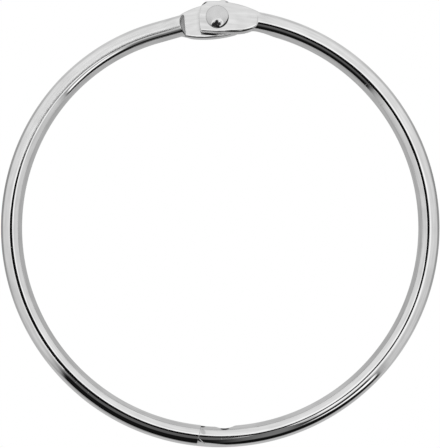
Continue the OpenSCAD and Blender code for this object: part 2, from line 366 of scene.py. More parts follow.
def cast_sections(path, s, solid, up, width):
    """Rings of points where rays from each section's middle meet the solid's surface."""
    plate_share = smooth_step(s, WIRE_RAYS_FROM, PLATE_RAYS_TO)
    middle = PLATE_MID * plate_share
    wide = 1.0 + (width / PLATE_T - 1.0) * plate_share
    turn = np.linspace(0, 2 * math.pi, AROUND, endpoint=False)
    ca = np.cos(turn)[None, :] * wide[:, None]
    cb = np.sin(turn)[None, :] * np.ones_like(s)[:, None]
    size = np.hypot(ca, cb)
    ca, cb = ca / size, cb / size
    low = np.zeros_like(ca)
    high = np.full_like(ca, RAY_REACH)
    for _ in range(HALVINGS):
        mid = (low + high) / 2
        inside = solid(s[:, None], mid * ca, middle[:, None] + mid * cb) < 0
        low = np.where(inside, mid, low)
        high = np.where(inside, high, mid)
    a = low * ca
    b = middle[:, None] + low * cb
    point, normal = path_frames(path, s)
    xy = point[:, None, :] + a[:, :, None] * normal[:, None, :]
    return np.concatenate([xy, up * b[:, :, None]], axis=2)


def skew_seam(rings, path, s, sense):
    """Leans the end of a half ring at the seam, which isn't cut quite square to the wire."""
    point, normal = path_frames(path, s)
    ahead = np.stack([normal[:, 1], -normal[:, 0]], axis=1)
    ahead *= np.sign(np.sum(ahead * (path(s + STEP) - path(s - STEP)), axis=1))[:, None]
    out = np.sum((rings[:, :, :2] - point[:, None, :]) * normal[:, None, :], axis=2)
    share = np.clip(1.0 - (s[-1] - s) / SEAM_SKEW_LEN, 0.0, 1.0)
    lean = -sense * math.tan(math.radians(SEAM_SKEW)) * share[:, None] * out
    rings[:, :, :2] += lean[:, :, None] * ahead[:, None, :]


def clasp_rings(centre, direction, outward, profile):
    """Circles about the clasp's axis from (radius, distance) pairs."""
    turn = np.linspace(0, 2 * math.pi, AROUND, endpoint=False)
    rings = []
    for r, x in profile:
        xy = centre + x * direction
        ring = xy[None, :] + r * np.cos(turn)[:, None] * outward[None, :]
        rings.append(np.concatenate([ring, r * np.sin(turn)[:, None]], axis=1))
    return np.array(rings)


def make_mesh(name, rings, lengths, first, last):
    """Closed mesh from rings of points, with a pole at each end and UVs in metres along and around."""
    count, around = rings.shape[:2]
    points = np.concatenate([rings.reshape(-1, 3), [first, last]]) * MM
    faces = []
    for i in range(count - 1):
        for j in range(around):
            k = (j + 1) % around
            faces.append((i * around + j, i * around + k, (i + 1) * around + k, (i + 1) * around + j))
    south = count * around
    north = south + 1
    for j in range(around):
        k = (j + 1) % around
        faces.append((south, k, j))
        faces.append((north, (count - 1) * around + j, (count - 1) * around + k))
    mesh = bpy.data.meshes.new(name)
    mesh.from_pydata([tuple(p) for p in points], [], faces)
    uv = mesh.uv_layers.new(name="Along")
    girth = 2 * math.pi * WIRE_R * MM
    for face in mesh.polygons:
        for loop in face.loop_indices:
            vertex = mesh.loops[loop].vertex_index
            ring, place = divmod(vertex, around)
            if vertex >= south:
                ring, place = (vertex - south) * (count - 1), 0
            uv.data[loop].uv = (lengths[ring] * MM, place / around * girth)
    mesh.update()
    bm = bmesh.new()
    bm.from_mesh(mesh)
    bmesh.ops.recalc_face_normals(bm, faces=bm.faces)
    bm.to_mesh(mesh)
    bm.free()
    for face in mesh.polygons:
        face.use_smooth = True
    piece = bpy.data.objects.new(name, mesh)
    bpy.context.scene.collection.objects.link(piece)
    weighted = piece.modifiers.new("Weighted normals", "WEIGHTED_NORMAL")
    weighted.mode = "FACE_AREA"
    weighted.keep_sharp = True
    return piece


def spread(*stretches):
    """Places along a path: (from, to, step) stretches run together."""
    parts = [np.arange(a, b, step) for a, b, step in stretches]
    return np.concatenate(parts + [[stretches[-1][1]]])


def pin_axis():
    """Middle of the seam, direction of the pin and the direction outwards across it."""
    centre = RING_R * along(SEAM_AT)
    away = centre - RIVET_AT
    angle = heading(away) + 90 + math.degrees(math.asin(PIN_LEN / 2 / np.linalg.norm(away)))
    return centre, along(angle), along(angle - 90)


def drill(piece, radius):
    """Cuts the rivet's hole through a plate."""
    shape = bmesh.new()
    bmesh.ops.create_cone(shape, cap_ends=True, segments=HOLE_SIDES,
                          radius1=radius * MM, radius2=radius * MM, depth=8 * WIRE_R * MM,
                          matrix=Matrix.Translation((0, RING_R * MM, 0)))
    mesh = bpy.data.meshes.new("drill")
    shape.to_mesh(mesh)
    shape.free()
    cutter = bpy.data.objects.new("drill", mesh)
    bpy.context.scene.collection.objects.link(cutter)
    cut = piece.modifiers.new("Rivet hole", "BOOLEAN")
    cut.operation = "DIFFERENCE"
    cut.solver = "EXACT"
    cut.object = cutter
    drilled = bpy.data.meshes.new_from_object(piece.evaluated_get(bpy.context.evaluated_depsgraph_get()))
    piece.modifiers.remove(cut)
    piece.data = drilled
    bpy.data.objects.remove(cutter)


# Distance from a shoulder to plain wire, and the step of the sections there
PLAIN_FROM = 6
PLAIN_STEP = 0.5

# The same at the seam: the pin half's end, the socket half's marked length and its mouth
PIN_END_LEN = 0.3
PIN_END_STEP = 0.015
MARKED_LEN = 10
MARKED_STEP = 0.1
MOUTH_LEN = 0.8
MOUTH_STEP = 0.025


def hinge_stations(plate):
    """Stretches of sections from a plate's blunt end to plain wire, closest at end and shoulder."""
    end, shoulder = -plate.end, plate.shoulder
    return (
        (end + 0.004, end + 0.1, 0.016),
        (end + 0.1, end + 1.2, 0.05),
        (end + 1.2, shoulder - 1, 0.15),
        (shoulder - 1, shoulder + 3, 0.06),
        (shoulder + 3, shoulder + PLAIN_FROM, 0.2),
    )


def make_pin_half():
    end = pin_length()
    axis = heading(pin_path(np.array([1.0]))[0] - RIVET_AT)
    s = spread(*hinge_stations(PIN_PLATE),
               (PIN_PLATE.shoulder + PLAIN_FROM, end - PIN_END_LEN, PLAIN_STEP),
               (end - PIN_END_LEN, end, PIN_END_STEP))

    def solid(s, a, b):
        edge = np.clip(1.0 - (end - s) / PIN_END_R, 0.0, 1.0)
        body = hinge_end(s, a, b, PIN_PLATE, axis)
        return body + PIN_END_R * (1.0 - np.sqrt(1.0 - edge * edge))

    rings = cast_sections(pin_path, s, solid, -1, 2 * PIN_PLATE.outer.reach)
    skew_seam(rings, pin_path, s, 1)
    centre, direction, outward = pin_axis()
    slope = PIN_R - WAIST_R
    before, after = CRIMP_AT - WAIST_HALF, CRIMP_AT + WAIST_HALF
    profile = [
        (PIN_R + 0.12, 0.0), (PIN_R + 0.03, 0.03), (PIN_R, 0.12), (PIN_R, 1.5),
        (PIN_R, before - 0.05 - slope), (PIN_R - 0.03, before - slope),
        (WAIST_R + 0.03, before), (WAIST_R, before + 0.1),
        (WAIST_R, after - 0.1), (WAIST_R + 0.03, after),
        (PIN_R - 0.03, after + slope), (PIN_R, after + 0.1 + slope),
        (PIN_R, PIN_LEN - 0.55), (PIN_R - 0.04, PIN_LEN - 0.45),
        (TIP_R + 0.08, PIN_LEN - 0.06), (TIP_R - 0.05, PIN_LEN),
    ]
    turned = clasp_rings(centre, direction, outward, profile)
    turned[:, :, 2] *= -1
    lengths = np.concatenate([s, end + np.array([x for _, x in profile])])
    tip = np.append(centre + PIN_LEN * direction, 0.0)
    first = np.append(pin_path(np.array([-PIN_PLATE.end]))[0], -PLATE_MID)
    piece = make_mesh("pin_half", np.concatenate([rings, turned]), lengths, first, tip)
    drill(piece, RIVET_R)
    return piece


def make_socket_half():
    end = socket_length()
    axis = heading(socket_path(np.array([1.0]))[0] - RIVET_AT)
    s = spread(*hinge_stations(SOCKET_PLATE),
               (SOCKET_PLATE.shoulder + PLAIN_FROM, end - MARKED_LEN, PLAIN_STEP),
               (end - MARKED_LEN, end - MOUTH_LEN, MARKED_STEP), (end - MOUTH_LEN, end, MOUTH_STEP))

    def solid(s, a, b):
        hinge = hinge_end(s, a, b, SOCKET_PLATE, axis)
        return np.where(s < RING_R, hinge, crimped_wire(end - s, a, b))

    rings = cast_sections(socket_path, s, solid, 1, 2 * SOCKET_PLATE.outer.reach)
    skew_seam(rings, socket_path, s, -1)
    centre, direction, outward = pin_axis()
    profile = [
        (BORE_R + 0.12, SEAM_GAP), (BORE_R + 0.03, SEAM_GAP + 0.04), (BORE_R, SEAM_GAP + 0.14),
        (BORE_R, CRIMP_AT - LIP_HALF), (LIP_R, CRIMP_AT - LIP_HALF / 2),
        (LIP_R, CRIMP_AT + LIP_HALF / 2), (BORE_R, CRIMP_AT + LIP_HALF),
        (BORE_R, BORE_DEPTH - 0.05), (BORE_R - 0.05, BORE_DEPTH),
    ]
    bored = clasp_rings(centre, direction, outward, profile)
    lengths = np.concatenate([s, end - np.array([x for _, x in profile])])
    floor_middle = np.append(centre + BORE_DEPTH * direction, 0.0)
    first = np.append(socket_path(np.array([-SOCKET_PLATE.end]))[0], PLATE_MID)
    piece = make_mesh("socket_half", np.concatenate([rings, bored]), lengths, first, floor_middle)
    drill(piece, RIVET_R + RIVET_CLEARANCE)
    return piece


# Steps of a dome's outline and of its rim's, and the tilt of its first ring in radians
DOME_STEPS = 26
RIM_STEPS = 12
FIRST_TILT = 0.02


def dome_profile(r, height, ball, rounding):
    """Half outline of a low dome with a rounded rim, from its top to its underside."""
    rim_tilt = math.asin((r - rounding) / (ball - rounding))
    tilts = np.linspace(FIRST_TILT, rim_tilt, DOME_STEPS)
    arc = [(ball * math.sin(t), height - ball + ball * math.cos(t)) for t in tilts]
    middle = (r - rounding, arc[-1][1] - rounding * math.cos(rim_tilt))
    edge = [(middle[0] + rounding * math.sin(t), middle[1] + rounding * math.cos(t))
            for t in np.linspace(rim_tilt, math.pi / 2, RIM_STEPS)[1:]]
    return arc + edge + [(r, RIM_BREAK), (r - RIM_BREAK, 0.0)]


# Step of the rivet's UVs from ring to ring, and the number of rings at its rim without dents
RIVET_UV_STEP = 0.1
BELOW_DENTS = 3

# Dents in the head: x and y from the rivet's axis, depth and radius
HEAD_DENTS = (
    (0.58, -1.22, 0.034, 0.36),
    (-0.6, -1.6, 0.034, 0.36),
    (0.0, -1.7, 0.02, 0.3),
    (-0.2, -0.92, -0.016, 0.34),
    (-0.9, 0.7, 0.006, 0.6),
    (0.8, 0.5, 0.005, 0.5),
)


def make_rivet():
    domed = dome_profile(HEAD_R, HEAD_H, HEAD_BALL_R, HEAD_RIM_R)
    peened = dome_profile(TAIL_R, TAIL_H, TAIL_BALL_R, TAIL_RIM_R)
    head = [(r, PLATE_TOP + RIVET_PLAY + z) for r, z in domed]
    tail = [(r, -PLATE_TOP - z) for r, z in peened]
    shank = [(RIVET_R, PLATE_TOP + RIVET_PLAY), (RIVET_R, -PLATE_TOP)]
    outline = head + shank + tail[::-1]
    turn = np.linspace(0, 2 * math.pi, AROUND, endpoint=False)
    rings = np.array([
        np.stack([r * np.cos(turn), r * np.sin(turn), np.full_like(turn, z)], axis=1) for r, z in outline
    ])
    top = np.array([0.0, 0.0, PLATE_TOP + RIVET_PLAY + HEAD_H])
    dented = rings[:len(head) - BELOW_DENTS]
    for x, y, depth, radius in HEAD_DENTS:
        squared = (dented[:, :, 0] - x) ** 2 + (dented[:, :, 1] - y) ** 2
        dented[:, :, 2] -= depth * np.exp(-squared / radius ** 2)
        top[2] -= depth * math.exp(-(x * x + y * y) / radius ** 2)
    rings[:, :, 1] += RING_R
    top[1] += RING_R
    bottom = (0.0, RING_R, -PLATE_TOP - TAIL_H)
    lengths = np.arange(len(outline)) * RIVET_UV_STEP
    return make_mesh("rivet", rings, lengths, top, bottom)


# Shader nodes

NUMBER = (int, float)


def math_node(tree, operation, *values):
    node = tree.nodes.new("ShaderNodeMath")
    node.operation = operation
    for socket, value in zip(node.inputs, values):
        if isinstance(value, NUMBER):
            socket.default_value = value
        else:
            tree.links.new(value, socket)
    return node.outputs[0]


def ramp(tree, value, low, high):
    """0 below low, 1 above high, smooth between; falls where high is below low."""
    node = tree.nodes.new("ShaderNodeMapRange")
    node.interpolation_type = "SMOOTHSTEP"
    node.inputs["From Min"].default_value = min(low, high)
    node.inputs["From Max"].default_value = max(low, high)
    node.inputs["To Min"].default_value = 0.0 if low < high else 1.0
    node.inputs["To Max"].default_value = 1.0 if low < high else 0.0
    tree.links.new(value, node.inputs["Value"])
    return node.outputs["Result"]


def blend(tree, mask, low, high):
    """low where the mask is 0, high where it is 1."""
    if isinstance(low, NUMBER) and isinstance(high, NUMBER):
        rise = high - low
    else:
        rise = math_node(tree, "SUBTRACT", high, low)
    return math_node(tree, "MULTIPLY_ADD", mask, rise, low)


def added(tree, base, mask, amount):
    """The base, with that amount more where the mask is 1."""
    return math_node(tree, "MULTIPLY_ADD", mask, amount, base)


def swung(tree, base, waves, swing):
    """The base, moved up and down by a noise whose middle is one half."""
    return added(tree, math_node(tree, "SUBTRACT", base, swing / 2), waves, swing)


def product(tree, *masks):
    result = masks[0]
    for mask in masks[1:]:
        result = math_node(tree, "MULTIPLY", result, mask)
    return result


def split_xyz(tree, vector):
    node = tree.nodes.new("ShaderNodeSeparateXYZ")
    tree.links.new(vector, node.inputs["Vector"])
    return node.outputs


def vector_node(tree, operation, vector, other=(0, 0, 0)):
    node = tree.nodes.new("ShaderNodeVectorMath")
    node.operation = operation
    node.inputs[1].default_value = other
    tree.links.new(vector, node.inputs[0])
    return node.outputs


def length(tree, vector):
    return vector_node(tree, "LENGTH", vector)["Value"]


def level_length(tree, vector):
    """Length of a vector without its z."""
    return length(tree, vector_node(tree, "MULTIPLY", vector, (1, 1, 0))["Vector"])


def degrees(tree, operation, *values):
    """Result in degrees of a Math operation that gives an angle."""
    return math_node(tree, "MULTIPLY", math_node(tree, operation, *values), 180 / math.pi)


def bearing(tree, vector, middle):
    """Degrees of azimuth of a vector, counted from the middle bearing, and its z."""
    x, y, z = split_xyz(tree, vector)
    c, s = math.cos(math.radians(middle)), math.sin(math.radians(middle))
    forward = math_node(tree, "ADD", product(tree, x, c), product(tree, y, s))
    side = math_node(tree, "SUBTRACT", product(tree, y, c), product(tree, x, s))
    return degrees(tree, "ARCTAN2", side, forward), z


def noise(tree, vector, scale, detail):
    node = tree.nodes.new("ShaderNodeTexNoise")
    node.inputs["Scale"].default_value = scale
    node.inputs["Detail"].default_value = detail
    tree.links.new(vector, node.inputs["Vector"])
    return node.outputs["Fac"]


def stretched_noise(tree, vector, scale, detail):
    """Noise with its own scale along each axis."""
    node = tree.nodes.new("ShaderNodeMapping")
    node.inputs["Scale"].default_value = scale
    tree.links.new(vector, node.inputs["Vector"])
    return noise(tree, node.outputs["Vector"], 1.0, detail)


CORNER_SAMPLES = 8


def corner_shade(tree, reach):
    """0 deep in a corner, 1 in the open."""
    node = tree.nodes.new("ShaderNodeAmbientOcclusion")
    node.samples = CORNER_SAMPLES
    node.only_local = False
    node.inputs["Distance"].default_value = reach
    return node.outputs["AO"]


# Spots on the metal: x and y of the middle, heading in degrees, half length, half width and lowest z
Spot = namedtuple("Spot", "x y heading half_length half_width lowest")
SPOT_CORE = 0.55
SPOT_FADE = 0.2


def spot_mask(tree, place, spot, ragged=None):
    """1 in the middle of a long spot, 0 outside it; ragged moves its edge."""
    node = tree.nodes.new("ShaderNodeMapping")
    node.vector_type = "TEXTURE"
    node.inputs["Location"].default_value = (spot.x * MM, spot.y * MM, 0)
    node.inputs["Rotation"].default_value = (0, 0, math.radians(spot.heading))
    node.inputs["Scale"].default_value = (spot.half_length * MM, spot.half_width * MM, 1)
    tree.links.new(place, node.inputs["Vector"])
    away = level_length(tree, node.outputs["Vector"])
    if ragged is not None:
        away = math_node(tree, "ADD", away, ragged)
    z = split_xyz(tree, place)["Z"]
    above = ramp(tree, z, spot.lowest * MM, (spot.lowest + SPOT_FADE) * MM)
    return product(tree, ramp(tree, away, 1.0, SPOT_CORE), above)


def metal(name):
    """New metallic material, its node tree and its shader."""
    material = bpy.data.materials.new(name)
    material.use_nodes = True
    tree = material.node_tree
    shader = tree.nodes["Principled BSDF"]
    shader.inputs["Metallic"].default_value = 1.0
    return material, tree, shader


RELIEF_DEPTH = 0.00002


def finish_metal(tree, shader, bright, rough, relief, strength):
    """Gives a shader its brightness, roughness and fine relief."""
    colour = tree.nodes.new("ShaderNodeCombineColor")
    for socket in colour.inputs[:3]:
        tree.links.new(bright, socket)
    tree.links.new(colour.outputs["Color"], shader.inputs["Base Color"])
    tree.links.new(rough, shader.inputs["Roughness"])
    bump = tree.nodes.new("ShaderNodeBump")
    bump.inputs["Strength"].default_value = strength
    bump.inputs["Distance"].default_value = RELIEF_DEPTH
    tree.links.new(relief, bump.inputs["Height"])
    tree.links.new(bump.outputs["Normal"], shader.inputs["Normal"])


# Plate over drawn wire: scales of its noises along and around the wire, and what each of them does
# A pair is the range of a mask, or the values at its two ends
STREAK_SCALE = (45, 5200, 1)
TONE_SCALE = (170, 2300, 1)
SCRATCH_SCALE = (3600, 260, 1)
CLOUD_SCALE = 420
SCRATCH_RANGE = (0.66, 0.74)
WIRE_BRIGHT = (0.71, 0.85)
TONE_SWING = 0.36
STREAK_SWING = 0.1
SCRATCH_BRIGHT = -0.05
# Painted shade in the wire's corners: reach of the corner test, its range and the brightness deep in a
# corner
WIRE_CORNER = 0.0012
WIRE_CORNER_RANGE = (0.25, 0.85)
WIRE_CORNER_SHADE = 0.55
WIRE_ROUGH = (0.015, 0.055)
CLOUD_RANGE = (0.45, 0.7)
CLOUD_ROUGH = 0.02
SCRATCH_ROUGH = 0.08
SCRATCH_RELIEF = -0.5
WIRE_RELIEF = 0.12

# Crest of the pin half, rubbed dull: along its length in metres, and by the z of its normal
RUBBED_START = (0.0055, 0.0065)
RUBBED_END = (0.055, 0.039)
CREST = (0.925, 0.965)
RUBBED_ROUGH = 0.3

# Wall of the pin half's shoulder, painted darker as shade and rougher: along its length in metres, and by
# the x of its normal
WALL_START = (0.0054, 0.0058)
WALL_END = (0.0078, 0.0074)
WALL_FACING = (0.35, 0.6)
WALL_SHADE_BRIGHT = 0.4
WALL_ROUGH = 0.25

# Sheared edges of the socket half's plate: along its length in metres, and by the z of their normal
SHEARED_END = (0.0065, 0.0055)
SHEARED_FACING = (0.6, 0.3)
SHEARED_ROUGH = 0.4

# Matt left part of those edges, and a painted shadow at its foot between the plates: x and z in
# millimetres
MATT_X = (0.1, -0.8)
GAP_SHADOW_Z = (0.6, 0.35)
MATT_BRIGHT = 1.0
GAP_SHADOW_BRIGHT = 0.03

# Scuff across the socket's mouth
SCUFF = Spot(-4.0, -40.35, -44.0, 1.0, 0.13, -1.0)
SCUFF_ROUGH = 0.5

# Stains and painted shades on each half: the spot and its brightness
SOCKET_STAINS_AND_SHADES = (
    # Dark line along the front plate's cut corner
    (Spot(-2.65, 42.55, 24.0, 1.0, 0.2, 1.0), 0.06),
    # Grey spot at the front plate's outer edge, right of the rivet
    (Spot(1.88, 42.83, -8.0, 0.4, 0.2, 1.0), 0.45),
    # Painted shade: dark line along the front plate's lower edge, right of the rivet
    (Spot(5.5, 37.56, 13.0, 1.95, 0.14, 0.9), 0.05),
    # Painted shade in the crimp's dent on the inside of the ring
    (Spot(0.35, -38.27, 2.0, 1.0, 0.24, -2.0), 0.05),
    # Painted shadow in the notch at the socket's mouth
    (Spot(-3.95, -37.85, -6.0, 0.75, 0.24, -2.0), 0.06),
    # Grey stain beside the seam
    (Spot(-3.8, -38.65, -40.0, 0.7, 0.45, -2.0), 0.55),
)
PIN_STAINS_AND_SHADES = (
    # Dark streak at the inner side of the pin half's shoulder
    (Spot(-6.6, 37.45, -43.0, 0.7, 0.16, -1.0), 0.06),
    # Painted shadow on the rear plate, in the gap under the front plate's lower edge
    (Spot(-1.35, 37.17, -6.5, 1.75, 0.22, -2.0), 0.03),
)

# What wear and painted shade go by: place, distance along the wire and the parts of the normal
# Each of them gives back brightness, roughness and a mask of what isn't bare metal, or None
Where = namedtuple("Where", "place far facing")


def pin_wear_and_shade(tree, where, bright, rough):
    """The pin half's rubbed crest, and the wall of its shoulder painted darker as shade."""
    rubbed = product(tree, ramp(tree, where.far, *RUBBED_START), ramp(tree, where.far, *RUBBED_END),
                     ramp(tree, where.facing["Z"], *CREST))
    wall = product(tree, ramp(tree, where.far, *WALL_START), ramp(tree, where.far, *WALL_END),
                   ramp(tree, where.facing["X"], *WALL_FACING))
    # Painted shade: the shoulder's wall is darker where its normal faces +X
    bright = blend(tree, wall, bright, WALL_SHADE_BRIGHT)
    rough = blend(tree, rubbed, rough, RUBBED_ROUGH)
    rough = blend(tree, wall, rough, WALL_ROUGH)
    return bright, rough, None


def socket_wear_and_shadow(tree, where, bright, rough):
    """The front plate's sheared edges, partly matt with a painted shadow at their foot between the
    plates, and the scuff on the socket's mouth.
    """
    x, _, z = split_xyz(tree, where.place)
    upright = ramp(tree, math_node(tree, "ABSOLUTE", where.facing["Z"]), *SHEARED_FACING)
    sheared = product(tree, upright, ramp(tree, where.far, *SHEARED_END))
    matt = product(tree, sheared, ramp(tree, x, MATT_X[0] * MM, MATT_X[1] * MM))
    gap_shadow = product(tree, matt, ramp(tree, z, GAP_SHADOW_Z[0] * MM, GAP_SHADOW_Z[1] * MM))
    scuff = spot_mask(tree, where.place, SCUFF)
    bright = blend(tree, matt, bright, MATT_BRIGHT)
    # Painted shadow in the gap between the plates
    bright = blend(tree, gap_shadow, bright, GAP_SHADOW_BRIGHT)
    rough = blend(tree, sheared, rough, SHEARED_ROUGH)
    rough = blend(tree, scuff, rough, SCUFF_ROUGH)
    return bright, rough, math_node(tree, "MAXIMUM", scuff, matt)


def plated_wire(name, wear_and_shade, stains_and_shades):
    """Bright nickel plate over drawn wire: streaks along it, cloudiness, scratches and painted shade in
    its corners.
    """
    material, tree, shader = metal(name)
    node = tree.nodes.new("ShaderNodeUVMap")
    node.uv_map = "Along"
    uv = node.outputs["UV"]
    coordinates = tree.nodes.new("ShaderNodeTexCoord").outputs
    place = coordinates["Object"]
    streaks = stretched_noise(tree, uv, STREAK_SCALE, 3)
    tone = stretched_noise(tree, uv, TONE_SCALE, 2)
    clouds = noise(tree, place, CLOUD_SCALE, 4)
    scratched = ramp(tree, stretched_noise(tree, uv, SCRATCH_SCALE, 2), *SCRATCH_RANGE)
    corner = ramp(tree, corner_shade(tree, WIRE_CORNER), *WIRE_CORNER_RANGE)
    bright = swung(tree, blend(tree, clouds, *WIRE_BRIGHT), tone, TONE_SWING)
    bright = added(tree, bright, scratched, SCRATCH_BRIGHT)
    bright = swung(tree, bright, streaks, STREAK_SWING)
    # Painted shade: the base colour darkens deep in corners
    bright = blend(tree, corner, WIRE_CORNER_SHADE, bright)
    rough = blend(tree, streaks, *WIRE_ROUGH)
    rough = added(tree, rough, ramp(tree, clouds, *CLOUD_RANGE), CLOUD_ROUGH)
    rough = added(tree, rough, scratched, SCRATCH_ROUGH)
    where = Where(place, split_xyz(tree, uv)["X"], split_xyz(tree, coordinates["Normal"]))
    bright, rough, dull = wear_and_shade(tree, where, bright, rough)
    if dull is not None:
        tree.links.new(math_node(tree, "SUBTRACT", 1.0, dull), shader.inputs["Metallic"])
    # Stains, and painted shades and shadows, darken spots of the base colour
    for spot, level in stains_and_shades:
        bright = blend(tree, spot_mask(tree, place, spot), bright, level)
    relief = added(tree, streaks, scratched, SCRATCH_RELIEF)
    finish_metal(tree, shader, bright, rough, relief, WIRE_RELIEF)
    return material


# Rivet: noises and what they do, as for the wire
RIVET_CLOUD_SCALE = 900
RIVET_GRAIN_SCALE = 5200
RIVET_BRIGHT = (0.62, 0.74)
# Painted shade in the rivet's corners: reach of the corner test, its range and the brightness deep in a
# corner
RIVET_CORNER = 0.0006
RIVET_CORNER_RANGE = (0.2, 0.8)
RIVET_CORNER_SHADE = 0.6
RIVET_ROUGH = (0.07, 0.17)
GRAIN_RELIEF = 0.2
RIVET_RELIEF = 0.15

# Painted shadow in the gap under the head's lower right rim, and painted dark reflections with ragged
# edges in its dents
RIM_SHADOW_HEADING = -44.0
RIM_SHADOW_HALF = 72.0
RIM_SHADOW_FADE = 12.0
RIM_SHADOW_FROM = 1.86
RIM_SHADOW_EDGE = 0.06
SHADOW_AND_REFLECTION_BRIGHT = (-0.02, 0.1)
SHADOW_AND_REFLECTION_ROUGH = 0.35
RAGGED_SCALE = 2600
RAGGED_SWING = 1.3
# Painted dark reflection of the lens on the head, in spots over its dents
HEAD_REFLECTION_SPOTS = (
    Spot(-0.5, 38.45, 20.0, 0.8, 0.45, 1.7),
    Spot(-0.1, 38.9, 60.0, 0.65, 0.48, 1.7),
    Spot(0.3, 38.6, 0.0, 0.5, 0.4, 1.7),
    Spot(0.0, 38.2, -8.0, 0.7, 0.3, 1.5),
)


def plated_rivet():
    """Plated steel rivet: cloudiness, fine grain, painted shade in its corners, a painted shadow under
    its rim and painted dark reflections in its dents.
    """
    material, tree, shader = metal("plated_rivet")
    place = tree.nodes.new("ShaderNodeTexCoord").outputs["Object"]
    clouds = noise(tree, place, RIVET_CLOUD_SCALE, 4)
    grain = noise(tree, place, RIVET_GRAIN_SCALE, 2)
    # Painted shade: the base colour darkens deep in corners
    corner = ramp(tree, corner_shade(tree, RIVET_CORNER), *RIVET_CORNER_RANGE)
    bright = blend(tree, corner, RIVET_CORNER_SHADE, blend(tree, clouds, *RIVET_BRIGHT))
    # Painted shadow: a dark crescent on the head's rim, on its lower right side
    from_axis = vector_node(tree, "SUBTRACT", place, (0, RING_R * MM, 0))["Vector"]
    turn, _ = bearing(tree, from_axis, RIM_SHADOW_HEADING)
    off = math_node(tree, "ABSOLUTE", turn)
    inner = blend(tree, ramp(tree, off, 0, RIM_SHADOW_HALF), RIM_SHADOW_FROM * MM, HEAD_R * MM)
    past = math_node(tree, "SUBTRACT", level_length(tree, from_axis), inner)
    painted_dark = product(tree, ramp(tree, past, 0.0, RIM_SHADOW_EDGE * MM),
                   ramp(tree, off, RIM_SHADOW_HALF, RIM_SHADOW_HALF - RIM_SHADOW_FADE))
    ragged = added(tree, -RAGGED_SWING / 2, noise(tree, place, RAGGED_SCALE, 3), RAGGED_SWING)
    # Painted dark reflection spots, added to the painted shadow
    for spot in HEAD_REFLECTION_SPOTS:
        painted_dark = math_node(tree, "MAXIMUM", painted_dark, spot_mask(tree, place, spot, ragged))
    bright = blend(tree, painted_dark, bright, blend(tree, grain, *SHADOW_AND_REFLECTION_BRIGHT))
    rough = blend(tree, painted_dark, blend(tree, clouds, *RIVET_ROUGH), SHADOW_AND_REFLECTION_ROUGH)
    finish_metal(tree, shader, bright, rough, added(tree, clouds, grain, GRAIN_RELIEF), RIVET_RELIEF)
    return material


# Camera: scale, picture and the ring's middle in it in pixels, height in pixels, and roll in degrees
PX_PER_MM = 5.21
IMAGE = (440, 448)
RING_CENTRE_PX = (220.2, 227.9)
CAMERA_PX = 700.0
CAMERA_HEIGHT = CAMERA_PX / PX_PER_MM * MM
ROLL = 0.81
SENSOR = 24.0
CLIP_FROM = 0.01


def make_camera():
    camera = bpy.data.cameras.new("camera")
    camera.sensor_fit = "VERTICAL"
    camera.sensor_height = SENSOR
    camera.lens = SENSOR * CAMERA_PX / IMAGE[1]
    camera.clip_start = CLIP_FROM
    holder = bpy.data.objects.new("camera", camera)
    bpy.context.scene.collection.objects.link(holder)
    off_x = (IMAGE[0] / 2 - RING_CENTRE_PX[0]) / PX_PER_MM
    off_y = (RING_CENTRE_PX[1] - IMAGE[1] / 2) / PX_PER_MM
    turn = Matrix.Rotation(math.radians(-ROLL), 3, "Z")
    place = turn @ Vector((off_x, off_y, 0))
    holder.location = (place.x * MM, place.y * MM, CAMERA_HEIGHT)
    holder.rotation_euler = Euler((0, 0, math.radians(-ROLL)))
    bpy.context.scene.camera = holder


# Stage: things that only light the ring, in metres and degrees, bearings counted from +X towards +Y

Emitter = namedtuple("Emitter", "material tree glow output")


def emission_only(name):
    """Material with nothing but an emission shader."""
    material = bpy.data.materials.new(name)
    material.use_nodes = True
    tree = material.node_tree
    tree.nodes.clear()
    output = tree.nodes.new("ShaderNodeOutputMaterial")
    glow = tree.nodes.new("ShaderNodeEmission")
    tree.links.new(glow.outputs["Emission"], output.inputs["Surface"])
    return Emitter(material, tree, glow, output)


def cut_out(emitter, cover):
    """Leaves an emitter see-through where the cover is 0."""
    tree = emitter.tree
    clear = tree.nodes.new("ShaderNodeBsdfTransparent")
    mix = tree.nodes.new("ShaderNodeMixShader")
    tree.links.new(cover, mix.inputs["Fac"])
    tree.links.new(clear.outputs["BSDF"], mix.inputs[1])
    tree.links.new(emitter.glow.outputs["Emission"], mix.inputs[2])
    tree.links.new(mix.outputs["Shader"], emitter.output.inputs["Surface"])


def stage_mesh(name, points, faces, material, seen=False):
    mesh = bpy.data.meshes.new(name)
    mesh.from_pydata(points, [], faces)
    thing = bpy.data.objects.new(name, mesh)
    bpy.context.scene.collection.objects.link(thing)
    mesh.materials.append(material)
    thing.visible_camera = seen


def stage_strip(name, pairs, material):
    """Strip of quads between pairs of points."""
    points = [point for pair in pairs for point in pair]
    faces = [(2 * k - 2, 2 * k, 2 * k + 1, 2 * k - 1) for k in range(1, len(pairs))]
    stage_mesh(name, points, faces, material)


def flat_strip(name, radii, bearings, steps, height, material):
    """Flat part of a ring over the scene."""
    turns = along(np.linspace(*bearings, steps))
    stage_strip(name, [[(r * c, r * s, height) for r in radii] for c, s in turns], material)


def position(tree):
    return tree.nodes.new("ShaderNodeNewGeometry").outputs["Position"]


def white_when_seen(tree, level):
    """That level in reflections, white where the camera looks straight at it."""
    path = tree.nodes.new("ShaderNodeLightPath")
    return math_node(tree, "MAXIMUM", level, path.outputs["Is Camera Ray"])


